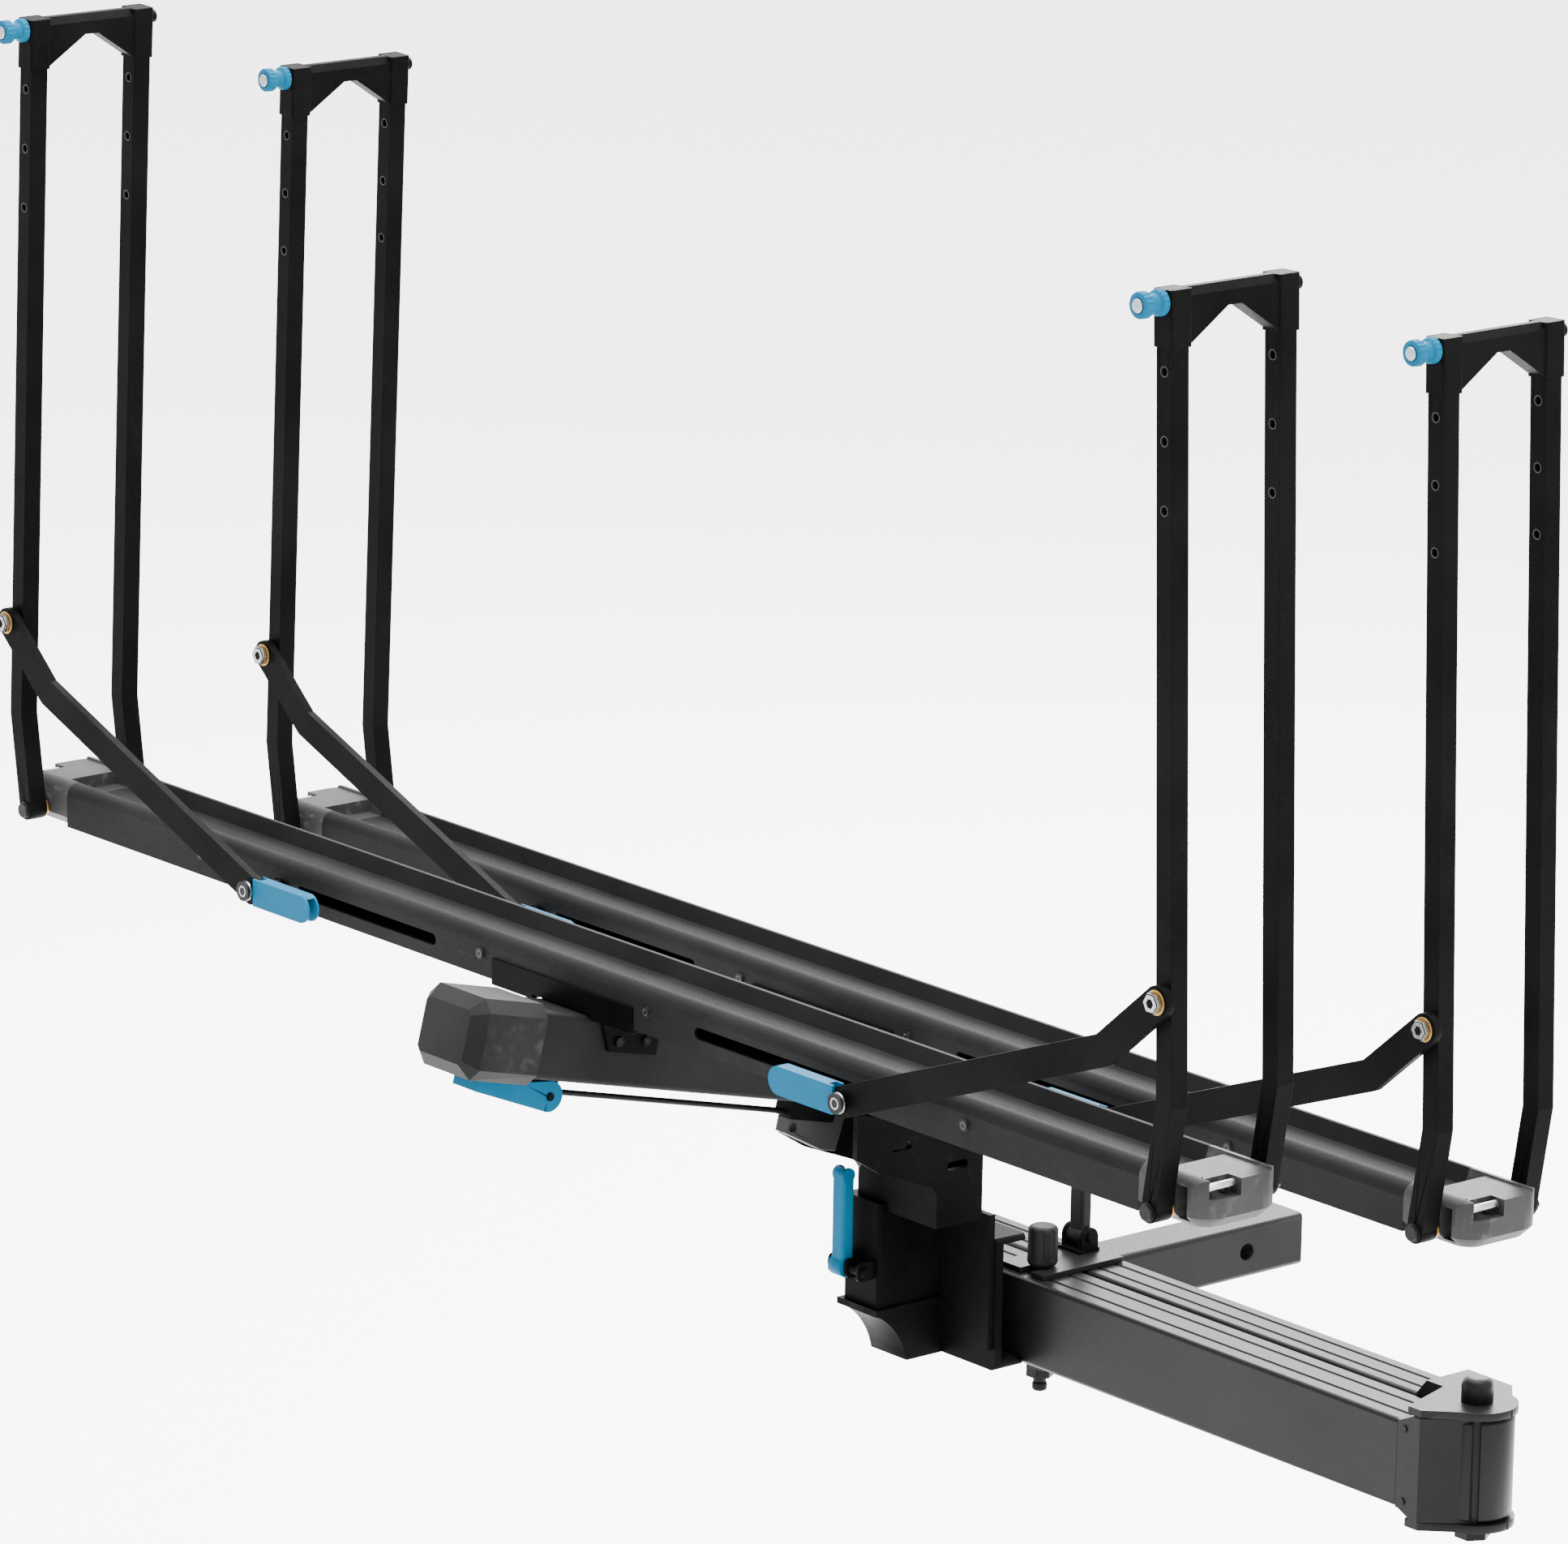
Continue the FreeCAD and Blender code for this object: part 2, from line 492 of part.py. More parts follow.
def release_lever():
    """Hand lever under the spine's free end: a tapered channel open towards the spine."""
    half, wall, eye_r = 16.0, 3.0, 14.0
    pivot, tip = -LEVER_U, -LEVER_U - 84
    low = LEVER_W - eye_r
    outline = [(pivot, LEVER_W + eye_r), (pivot - 34, -SPINE_H / 2 - 6.5), (tip, -SPINE_H / 2 - 6.5),
               (tip, -SPINE_H / 2 - 18), (pivot, low)]
    bar = plate_x(outline, -half, half).fuse(rod_x(-half, half, pivot, LEVER_W, eye_r))
    hollow = [(pivot + 16, -SPINE_H / 2), (tip + wall, -SPINE_H / 2), (tip + wall, -SPINE_H / 2 - 15),
              (pivot, low + wall), (pivot + 16, low + wall)]
    bar = bar.removeSplitter().cut(plate_x(hollow, -half + wall, half - wall))
    return tilted(bar.cut(rod_x(-20, 20, pivot, LEVER_W, 3.5 + RUN_GAP)))


ROD_W = -SPINE_H / 2 - 15.0
GUIDE_U, GUIDE_W = 165.0, -SPINE_H / 2 - 20.0


def pull_rod():
    """Thin rod from the release lever towards the lock block."""
    return tilted(rod(V(0, -LEVER_U + 18, ROD_W), V(0, -GUIDE_U - 1.2, ROD_W), 2.7))


def rod_guide():
    """Lock block under the spine at the inner end of the pull rod."""
    block = box(-11, 11, -GUIDE_U, -GUIDE_U + 52, GUIDE_W, -SPINE_H / 2)
    return tilted(rounded(block, 3, X_AXIS))


def tilt_lug():
    """Lock lug under the block, with the hole that the lock pin enters."""
    front = -GUIDE_U + 2
    outline = [(front, GUIDE_W), (front, GUIDE_W - 14),
               (front + 45, GUIDE_W - 26), (front + 62, GUIDE_W - 26),
               (front + 66, -SPINE_H / 2), (front + 50.5, -SPINE_H / 2), (front + 50.5, GUIDE_W)]
    lug = plate_x(outline, -8, 8)
    return tilted(lug.cut(rod_x(-20, 20, front + 7, GUIDE_W - 7.5, 4.5)))


# ---- trays -----------------------------------------------------------------------------------
def tray_section():
    """Closed lower box with a shallow wheel trough between two rounded lips."""
    t, r = TRAY_HALF, 12.0
    top = TRAY_H
    corner = r * (1 - cos(pi / 4))
    points = {
        "right": V(0, t, top - r), "right_mid": V(0, t - corner, top - corner), "right_top": V(0, t - r, top),
        "left": V(0, -t, top - r), "left_mid": V(0, -t + corner, top - corner), "left_top": V(0, -t + r, top),
    }
    floor = top - TROUGH_DEPTH
    edges = [
        Part.makeLine(V(0, -t, 0), V(0, t, 0)), Part.makeLine(V(0, t, 0), points["right"]),
        Part.Arc(points["right"], points["right_mid"], points["right_top"]).toShape(),
        Part.makeLine(points["right_top"], V(0, TROUGH_HALF, top)),
        Part.makeLine(V(0, TROUGH_HALF, top), V(0, TROUGH_HALF - 5, floor)),
        Part.makeLine(V(0, TROUGH_HALF - 5, floor), V(0, -TROUGH_HALF + 5, floor)),
        Part.makeLine(V(0, -TROUGH_HALF + 5, floor), V(0, -TROUGH_HALF, top)),
        Part.makeLine(V(0, -TROUGH_HALF, top), points["left_top"]),
        Part.Arc(points["left_top"], points["left_mid"], points["left"]).toShape(),
        Part.makeLine(points["left"], V(0, -t, 0)),
    ]
    return Part.Face(Part.Wire(edges))


def tray():
    body = tray_section().extrude(V(2 * TRAY_END_X, 0, 0))
    body.translate(V(-TRAY_END_X, 0, 0))
    cavity = box(-TRAY_END_X - 1, TRAY_END_X + 1, -TRAY_HALF + 3, TRAY_HALF - 3, 3, TRAY_H - TROUGH_DEPTH - 3)
    body = body.cut(cavity)
    slot_r = AXLE_R + 0.4
    inner_x = FOOT_X - SLIDER_X - SLIDER_TRAVEL
    outer_x = FOOT_X - SLIDER_X
    for side in (-1, 1):
        slot = box(side * inner_x, side * outer_x, -TRAY_HALF - 1, -TRAY_HALF + 4,
                   SLIDER_H - slot_r, SLIDER_H + slot_r)
        slot = slot.fuse(rod_y(side * (inner_x - 2), -TRAY_HALF - 1, -TRAY_HALF + 4, SLIDER_H, slot_r))
        slot = slot.fuse(rod_y(side * (outer_x + 2), -TRAY_HALF - 1, -TRAY_HALF + 4, SLIDER_H, slot_r))
        body = body.cut(slot)
    return body


NOSE_R = 24.0
CATCH_X, CATCH_Z = CAP_END_X - 7.0, TRAY_H - 7.0


def tray_end():
    """Moulded end of a tray with a broad round nose and the hoop pivot bore, right-hand side."""
    length = CAP_END_X - TRAY_END_X
    nose = tray_section().extrude(V(length, 0, 0))
    nose.translate(V(TRAY_END_X, 0, 0))
    deck = box(FOOT_X - 16, CAP_END_X, -TRAY_HALF + 9, TRAY_HALF - 9, TRAY_H - TROUGH_DEPTH - 1, TRAY_H - 2)
    nose = nose.fuse(deck)
    plan = box(TRAY_END_X - 1, CAP_END_X - NOSE_R, -60, 60, -1, 60)
    plan = plan.fuse(box(TRAY_END_X - 1, CAP_END_X, -TRAY_HALF + NOSE_R, TRAY_HALF - NOSE_R, -1, 60))
    for sign in (-1, 1):
        plan = plan.fuse(rod_z(CAP_END_X - NOSE_R, sign * (TRAY_HALF - NOSE_R), -1, 60, NOSE_R))
    nose = nose.common(plan)
    tongue = box(TRAY_END_X - 24, TRAY_END_X + 1, -TRAY_HALF + 3.1, TRAY_HALF - 3.1,
                 3.1, TRAY_H - TROUGH_DEPTH - 3.1)
    rim = [e for e in nose.Edges if e.BoundBox.ZMax < 0.01 and e.BoundBox.XMax > CAP_END_X - NOSE_R + 1]
    nose = nose.makeChamfer(9, rim).fuse(tongue)
    nose = nose.cut(box(FOOT_X + 8, FOOT_X + 21, -TRAY_HALF - 1, -TRAY_HALF + 14, 4, 33))
    nose = nose.cut(box(CATCH_X - 9, CAP_END_X + 1, -34, -4, CATCH_Z - 9, TRAY_H + 1))
    return nose.cut(rod_y(FOOT_X, -60, 60, FOOT_H, AXLE_R + RUN_GAP))


def end_catch():
    """Bright strap bar that closes the notch in the nose of a tray, right-hand side."""
    return rod_y(CATCH_X - 1, -34, -4, CATCH_Z, 3.4)


def tray_bolts():
    bolts = []
    for x in TRAY_BOLT_X:
        for side in (-1, 1):
            for face in (-1, 1):
                start = face * TRAY_HALF
                bolts.append(rod_y(side * x, start, start + face * 2, 20.0, 5))
    return Part.makeCompound(bolts)


# ---- hoops, drawn on the right-hand side of a tray at the origin ---------------------------------
def along_leg(distance):
    """Point on a leg's centre line at a distance below its top, as (x, z)."""
    run_x, run_z = TOP_X - BEND_X, TOP_H - BEND_H
    length = sqrt(run_x ** 2 + run_z ** 2)
    return (FOOT_X + TOP_X - run_x / length * distance, FOOT_H + TOP_H - run_z / length * distance)


LEAN = atan2(TOP_X - BEND_X, TOP_H - BEND_H)
SPLAY = atan2(BEND_X, BEND_H)


def leg_outline(half, top_cut):
    """Bent leg as a closed outline of half-width half, mitred at the bend."""
    foot = (FOOT_X, FOOT_H)
    bend = (FOOT_X + BEND_X, FOOT_H + BEND_H)
    top = along_leg(top_cut)
    miter = (SPLAY + LEAN) / 2
    reach = half / cos((SPLAY - LEAN) / 2)
    return [(foot[0] - half * cos(SPLAY), foot[1] + half * sin(SPLAY)),
            (bend[0] - reach * cos(miter), bend[1] + reach * sin(miter)),
            (top[0] - half * cos(LEAN), top[1] + half * sin(LEAN)),
            (top[0] + half * cos(LEAN), top[1] - half * sin(LEAN)),
            (bend[0] + reach * cos(miter), bend[1] - reach * sin(miter)),
            (foot[0] + half * cos(SPLAY), foot[1] - half * sin(SPLAY))]


def leg(sign):
    """One square leg tube with a round foot, closed at the top, and its adjustment holes."""
    y0, y1 = sign * LEG_Y - LEG / 2, sign * LEG_Y + LEG / 2
    body = plate_y(leg_outline(LEG / 2, 0), y0, y1)
    inner = plate_y(leg_outline(LEG / 2 - LEG_WALL, 3), y0 + LEG_WALL, y1 - LEG_WALL)
    body = body.cut(inner).fuse(rod_y(FOOT_X, y0, y1, FOOT_H, LEG / 2 + 0.5)).removeSplitter()
    for k in range(4):
        x, z = along_leg(KNOB_DOWN + k * HOLE_PITCH)
        body = body.cut(rod_y(x, y0 - 1, y1 + 1, z, LEG_HOLE_R))
    return body.cut(rod_y(FOOT_X, y0 - 1, y1 + 1, FOOT_H, AXLE_R))


def hoop_axle():
    """Bolt through both feet and the tray end, with its washers and nut."""
    out = LEG_Y + LEG / 2
    shank = rod_y(FOOT_X, -out - 1, out + 1, FOOT_H, AXLE_R)
    for sign in (-1, 1):
        shank = shank.fuse(rod_y(FOOT_X, sign * out, sign * (out + 1.2), FOOT_H, 8))
    shank = shank.fuse(rod_y(FOOT_X, -out - 4, -out - 1.2, FOOT_H, 6.5))
    return shank.fuse(hex_y(FOOT_X, out + 1.2, out + 6, FOOT_H, 11))


def leaned(shape):
    """Turn a shape drawn upright at the top of a leg to the leg's lean."""
    moved = shape.copy()
    moved.rotate(V(0, 0, 0), Y_AXIS, degrees(LEAN))
    x, z = along_leg(0)
    moved.translate(V(x, 0, z))
    return moved


def crossbar():
    """Adjustable top bar: a thin collar round each leg and an arched bar between them."""
    half, reach = COLLAR / 2, LEG_Y - LEG / 2
    body = None
    for sign in (-1, 1):
        collar = box(-half, half, sign * LEG_Y - half, sign * LEG_Y + half, -CROSSBAR_H, 0)
        collar = rounded(collar, 2.5, Z_AXIS)
        body = collar if body is None else body.fuse(collar)
    arch = [(-reach, 0), (reach, 0), (reach, -CROSSBAR_H + 1), (7, -18), (-7, -18), (-reach, -CROSSBAR_H + 1)]
    bar = plate_x(arch, -half + 1.5, half - 1.5)
    ridge = [e for e in bar.Edges if e.BoundBox.ZMin > -0.01 and e.BoundBox.YLength > 50]
    body = body.fuse(bar.makeChamfer(6, ridge))
    body = body.fuse(rod_y(0, LEG_Y + half - 1, LEG_Y + half + 7, -KNOB_DOWN, 6))
    gap = LEG / 2 + 0.35
    for sign in (-1, 1):
        body = body.cut(box(-gap, gap, sign * LEG_Y - gap, sign * LEG_Y + gap, -60, 1))
    body = body.cut(rod_y(0, -LEG_Y - 30, -LEG_Y, -KNOB_DOWN, 4 + RUN_GAP))
    return leaned(body.removeSplitter())


def knob():
    """Clamp knob: a spool with a waist, a bright end button and a short stud."""
    y, z = -LEG_Y - COLLAR / 2 - FREE_GAP, -KNOB_DOWN
    body = rod_y(0, y, y - 6, z, 11)
    body = body.fuse(rod_y(0, y - 6, y - 16, z, 8))
    body = body.fuse(rod_y(0, y - 16, y - 25, z, 11))
    body = body.fuse(rod_y(0, y - 25, y - 27, z, 6))
    return leaned(body.fuse(rod_y(0, y, -LEG_Y - LEG / 2 - 0.4, z, 4)))


BRACE_FOOT = (FOOT_X - SLIDER_X, SLIDER_H)
BRACE_TOP = (FOOT_X + BRACE_BOLT_X, FOOT_H + BRACE_BOLT_H)
BRACE_BEND = (FOOT_X + BRACE_BEND_X, FOOT_H + BRACE_BEND_H)


def strip(a, b, width, y0, y1):
    """Straight flat bar between two (x, z) points with round ends."""
    angle = atan2(b[1] - a[1], b[0] - a[0])
    dx, dz = -sin(angle) * width / 2, cos(angle) * width / 2
    bar = plate_y([(a[0] + dx, a[1] + dz), (b[0] + dx, b[1] + dz),
                   (b[0] - dx, b[1] - dz), (a[0] - dx, a[1] - dz)], y0, y1)
    return bar.fuse(rod_y(a[0], y0, y1, a[1], width / 2)).fuse(rod_y(b[0], y0, y1, b[1], width / 2))


def brace():
    """Cranked flat brace from the slider up to the outer face of the near leg."""
    y0, y1 = -BRACE_IN_Y - BRACE_T, -BRACE_IN_Y
    body = strip(BRACE_FOOT, BRACE_BEND, BRACE_W, y0, y1)
    body = body.fuse(strip(BRACE_BEND, BRACE_TOP, BRACE_W, y0, y1)).removeSplitter()
    body = body.cut(rod_y(BRACE_TOP[0], y0, y1, BRACE_TOP[1], 5))
    return body.cut(rod_y(BRACE_FOOT[0], y0 - 1, y1 + 1, BRACE_FOOT[1], AXLE_R + RUN_GAP))


def brace_bolt():
    """Bolt and washers at the top of the brace; it stops short of the leg."""
    x, z = BRACE_TOP
    y0, y1 = -BRACE_IN_Y - BRACE_T, -BRACE_IN_Y
    bolt = rod_y(x, y0, y1, z, 5).fuse(rod_y(x, y0 - 1.5, y0, z, 10)).fuse(hex_y(x, y0 - 7, y0 - 1.5, z, 15))
    return bolt.fuse(rod_y(x, y1, y1 + 2.5, z, 10))


def carriage():
    """Slider inside the tray with the pin that carries the brace and its lever."""
    x, z = BRACE_FOOT
    block = box(x - 26, x + 26, -TRAY_HALF + 3.4, -TRAY_HALF + 20, 3.4, TRAY_H - TROUGH_DEPTH - 3.4)
    out = -BRACE_IN_Y - BRACE_T - 3.5
    pin = rod_y(x, out, -TRAY_HALF + 4, z, AXLE_R)
    head = rod_y(x, out - 4.5, out, z, 9)
    return block.fuse(pin).fuse(head)


def brace_lever():
    """Ratchet release lever: a hooded channel that straddles the foot of the brace."""
    x, z = BRACE_FOOT
    y_in = -BRACE_IN_Y + 2.2
    y_out = -BRACE_IN_Y - BRACE_T - 3.0
    half, tip = 12.5, x - LEVER_LEN + 12.5
    body = box(tip, x - 9, y_out, y_in, z - half, z + half).fuse(rod_y(tip, y_out, y_in, z, half))
    body = body.fuse(box(x - 9, x, -BRACE_IN_Y + 0.4, y_in, z - 9, z + 9))
    body = body.fuse(rod_y(x, -BRACE_IN_Y + 0.4, y_in, z, 9)).removeSplitter()
    near, far = y_out + 2.5, -BRACE_IN_Y + 0.4
    body = body.cut(box(x - 17, x - 8, near, far, z - 30, z + 30))
    body = body.cut(box(tip - half - 1, x - 16, near, far, z - 30, z + half - 2.5))
    return body.cut(rod_y(x, y_out - 1, y_in + 1, z, AXLE_R + RUN_GAP))


# ---- assembly ------------------------------------------------------------------------------------
def build():
    parts["hitch_shank"] = hitch_shank()
    parts["fixed_arm"] = grooved_arm(FIXED_X, FIXED_BACK_Y, FIXED_FRONT_Y)
    parts["fixed_arm_plug"] = arm_plug(FIXED_X[0], FIXED_BACK_Y, FIXED_FRONT_Y)
    parts["pivot_clevis"] = pivot_clevis()
    parts["pivot_bolt"] = pivot_bolt()
    parts["pivot_nut"] = pivot_nut()
    parts["latch_tongues"] = latch_tongues()
    parts["latch_base"] = latch_base()
    parts["latch_lever"] = latch_lever()
    parts["swing_arm"] = swing_arm()
    parts["swing_arm_plug"] = arm_plug(SWING_X[0], SWING_BACK_Y, SWING_FRONT_Y)
    parts["swing_knuckle"] = swing_knuckle()
    parts["knuckle_screws"] = knuckle_screws()
    parts["mast"] = mast()
    parts["tilt_bolt"] = tilt_bolt()
    parts["cam_lever"] = cam_lever()
    parts["clamp_knob"] = clamp_knob()
    parts["spine_tube"] = spine_tube()
    parts["spine_cap"] = spine_cap()
    parts["release_bracket"] = release_bracket()
    parts["release_lever"] = release_lever()
    parts["pull_rod"] = pull_rod()
    parts["rod_guide"] = rod_guide()
    parts["tilt_lug"] = tilt_lug()

    end_pair = Part.makeCompound([tray_end(), mirrored(tray_end(), -1)])
    loops = [place(end_catch(), name, side) for name in TRAYS for side in (-1, 1)]
    parts["strap_loops"] = Part.makeCompound(loops)
    fasteners = [place(group, name) for name in TRAYS for group in (tray_bolts(), saddle_bolts())]
    parts["tray_fasteners"] = Part.makeCompound(fasteners)
    for tray_name in TRAYS:
        parts[tray_name + "_tray"] = place(tray(), tray_name)
        parts[tray_name + "_tray_ends"] = place(end_pair, tray_name)
        parts[tray_name + "_saddle"] = place(tray_saddle(), tray_name)
        for side_name, side in SIDES.items():
            label = tray_name + "_" + side_name
            legs = Part.makeCompound([leg(-1), leg(1)])
            parts[label + "_legs"] = place(legs, tray_name, side)
            parts[label + "_axle"] = place(hoop_axle(), tray_name, side)
            parts[label + "_crossbar"] = place(crossbar(), tray_name, side)
            parts[label + "_knob"] = place(knob(), tray_name, side)
            braced = Part.makeCompound([brace(), brace_bolt()])
            parts[label + "_brace"] = place(braced, tray_name, side)
            parts[label + "_carriage"] = place(carriage(), tray_name, side)
            parts[label + "_lever"] = place(brace_lever(), tray_name, side)


build()
os.makedirs("parts", exist_ok=True)
for node, shape in parts.items():
    shape.exportStep("parts/" + node + ".step")
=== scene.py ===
"""Looks for the swing-away bike rack: camera, light, materials and the detailed pieces."""
import json
import math

import bmesh
import bpy
from mathutils import Matrix, Vector


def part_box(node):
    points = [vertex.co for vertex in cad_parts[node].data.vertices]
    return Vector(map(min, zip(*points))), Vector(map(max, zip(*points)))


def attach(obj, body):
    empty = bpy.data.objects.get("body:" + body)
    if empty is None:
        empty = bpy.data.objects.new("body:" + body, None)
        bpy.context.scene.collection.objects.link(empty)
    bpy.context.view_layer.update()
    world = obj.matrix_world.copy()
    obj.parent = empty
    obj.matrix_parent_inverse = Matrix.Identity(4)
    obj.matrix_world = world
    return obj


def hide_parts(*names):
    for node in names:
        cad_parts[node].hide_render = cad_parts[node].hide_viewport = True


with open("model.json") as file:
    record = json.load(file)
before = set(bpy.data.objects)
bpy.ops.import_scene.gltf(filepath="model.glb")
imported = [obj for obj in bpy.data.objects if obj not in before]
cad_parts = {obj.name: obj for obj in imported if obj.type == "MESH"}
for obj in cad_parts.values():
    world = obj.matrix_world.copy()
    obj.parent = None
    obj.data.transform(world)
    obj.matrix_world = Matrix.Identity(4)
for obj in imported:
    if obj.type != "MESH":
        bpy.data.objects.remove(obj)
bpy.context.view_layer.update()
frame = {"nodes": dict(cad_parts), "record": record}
nodes = frame["nodes"]

# ---- camera, floor and light ----------------------------------------------------------
CAMERA_AT = Vector((5.577, -5.190, 2.398))
AZIMUTH, ELEVATION, ROLL = math.radians(50.26), math.radians(14.46), math.radians(0.91)
LENS_MM, SENSOR_MM = 196.2, 36.0
SHIFT = (0.003, 0.008)
FLOOR_Z = -0.95

# ---- sizes shared by several pieces, in metres --------------------------------------------
WELD_GAP = 0.00002          # mesh corners closer than this are one corner
LEG_WIDTH = 0.018
KNOB_LENGTH = 0.027
BRACE_EYE = 0.0135          # half the width of a brace, so its end bolt sits this far inside it
BRACE_FACE = 0.0070         # outer face of the brace strip, behind the tip of its bolt
STUD_TIP = 0.0004           # bevelled tip of the knob's stud


def camera():
    """Camera with a long lens, turned by azimuth, elevation and a slight roll."""
    back = Vector((math.sin(AZIMUTH) * math.cos(ELEVATION), -math.cos(AZIMUTH) * math.cos(ELEVATION),
                   math.sin(ELEVATION)))
    right = Vector((math.cos(AZIMUTH), math.sin(AZIMUTH), 0))
    up = back.cross(right)
    turned = right * math.cos(ROLL) + up * math.sin(ROLL)
    raised = up * math.cos(ROLL) - right * math.sin(ROLL)
    data = bpy.data.cameras.new("camera")
    data.lens, data.sensor_width = LENS_MM, SENSOR_MM
    data.shift_x, data.shift_y = SHIFT
    data.clip_end = 100
    eye = bpy.data.objects.new("camera", data)
    eye.matrix_world = Matrix.Translation(CAMERA_AT) @ Matrix((turned, raised, back)).transposed().to_4x4()
    bpy.context.scene.collection.objects.link(eye)
    bpy.context.scene.camera = eye


def area_light(name, place, target, size, power):
    data = bpy.data.lights.new(name, "AREA")
    data.shape, data.size, data.energy = "DISK", size, power
    lamp = bpy.data.objects.new(name, data)
    aim = Vector(place) - Vector(target)
    lamp.matrix_world = Matrix.Translation(place) @ aim.to_track_quat("Z", "Y").to_matrix().to_4x4()
    bpy.context.scene.collection.objects.link(lamp)


def stage():
    """Pale floor and bright soft light; the paints below are dark enough to stay black in it."""
    mesh = bpy.data.meshes.new("floor")
    work = bmesh.new()
    bmesh.ops.create_grid(work, x_segments=1, y_segments=1, size=40)
    work.to_mesh(mesh)
    work.free()
    floor = bpy.data.objects.new("floor", mesh)
    floor.location.z = FLOOR_Z
    bpy.context.scene.collection.objects.link(floor)
    paint = bpy.data.materials.new("floor_paint")
    paint.use_nodes = True
    shader = paint.node_tree.nodes["Principled BSDF"]
    shader.inputs["Base Color"].default_value = (0.97, 0.97, 0.97, 1)
    shader.inputs["Roughness"].default_value = 0.9
    mesh.materials.append(paint)
    world = bpy.data.worlds.new("studio")
    world.use_nodes = True
    world.node_tree.nodes["Background"].inputs["Color"].default_value = (1, 1, 1, 1)
    world.node_tree.nodes["Background"].inputs["Strength"].default_value = 4.2
    bpy.context.scene.world = world
    middle = (0, -0.5, 0.4)
    area_light("overhead", (0.0, -0.3, 6.0), middle, 6.0, 2200)
    area_light("fill", (5.5, 0.5, 2.4), middle, 3.0, 260)
    area_light("back", (-3.0, 4.0, 3.5), middle, 4.0, 900)


# ---- materials ---------------------------------------------------------------------------
class Paint:
    """Small builder for one procedural material."""

    def __init__(self, name, color, roughness, metallic=0.0, shine=0.5):
        self.material = bpy.data.materials.new(name)
        self.material.use_nodes = True
        self.tree = self.material.node_tree
        self.shader = self.tree.nodes["Principled BSDF"]
        self.shader.inputs["Metallic"].default_value = metallic
        self.shader.inputs["Roughness"].default_value = roughness
        self.shader.inputs["Specular IOR Level"].default_value = shine
        self.shader.inputs["Base Color"].default_value = (*color, 1)
        self.coords = self.tree.nodes.new("ShaderNodeTexCoord").outputs["Object"]

    def noise(self, scale, detail=3, stretch=None):
        node = self.tree.nodes.new("ShaderNodeTexNoise")
        node.inputs["Scale"].default_value = scale
        node.inputs["Detail"].default_value = detail
        source = self.coords
        if stretch:
            mapping = self.tree.nodes.new("ShaderNodeMapping")
            mapping.inputs["Scale"].default_value = stretch
            self.tree.links.new(source, mapping.inputs["Vector"])
            source = mapping.outputs["Vector"]
        self.tree.links.new(source, node.inputs["Vector"])
        return node.outputs["Fac"]

    def ramp(self, source, low, high, start=0.35, end=0.65):
        node = self.tree.nodes.new("ShaderNodeMapRange")
        node.inputs["From Min"].default_value = start
        node.inputs["From Max"].default_value = end
        node.inputs["To Min"].default_value = low
        node.inputs["To Max"].default_value = high
        self.tree.links.new(source, node.inputs["Value"])
        return node.outputs["Result"]

    def times(self, first, second):
        node = self.tree.nodes.new("ShaderNodeMath")
        node.operation = "MULTIPLY"
        self.tree.links.new(first, node.inputs[0])
        self.tree.links.new(second, node.inputs[1])
        return node.outputs[0]

    def mix(self, factor, first, second):
        node = self.tree.nodes.new("ShaderNodeMix")
        node.data_type = "RGBA"
        sockets = [s for s in node.inputs if s.type == "RGBA"]
        self.tree.links.new(factor, node.inputs["Factor"])
        for socket, value in zip(sockets, (first, second)):
            if isinstance(value, tuple):
                socket.default_value = (*value, 1)
            else:
                self.tree.links.new(value, socket)
        return next(s for s in node.outputs if s.type == "RGBA")

    def edge(self):
        """1 on outside edges, 0 on flat faces."""
        node = self.tree.nodes.new("ShaderNodeNewGeometry")
        return self.ramp(node.outputs["Pointiness"], 0, 1, 0.60, 0.72)

    def link(self, output, name):
        self.tree.links.new(output, self.shader.inputs[name])

    def bump(self, source, strength, distance):
        node = self.tree.nodes.new("ShaderNodeBump")
        node.inputs["Strength"].default_value = strength
        node.inputs["Distance"].default_value = distance
        self.tree.links.new(source, node.inputs["Height"])
        self.link(node.outputs["Normal"], "Normal")


def coated(name, color, worn, roughness=0.42, shine=0.25, orange_peel=700):
    """Powder coat: fine orange peel, faint patches, a little dust and paler worn edges."""
    paint = Paint(name, color, roughness, shine=shine)
    grain = paint.noise(orange_peel, 4)
    lighter = tuple(c * 1.25 + 0.001 for c in color)
    body = paint.mix(paint.ramp(paint.noise(11, 4), 0, 1), color, lighter)
    specks = paint.ramp(paint.noise(160, 6), 0, 0.35, 0.55, 0.75)
    dust = paint.times(specks, paint.ramp(paint.noise(5, 2), 0, 1))
    body = paint.mix(dust, body, tuple(c * 1.7 + 0.003 for c in color))
    wear = paint.times(paint.ramp(paint.noise(70, 5), 0, 1, 0.48, 0.66), paint.edge())
    paint.link(paint.mix(wear, body, worn), "Base Color")
    paint.link(paint.ramp(grain, roughness - 0.07, roughness + 0.08), "Roughness")
    paint.bump(grain, 0.25, 0.0003)
    return paint.material


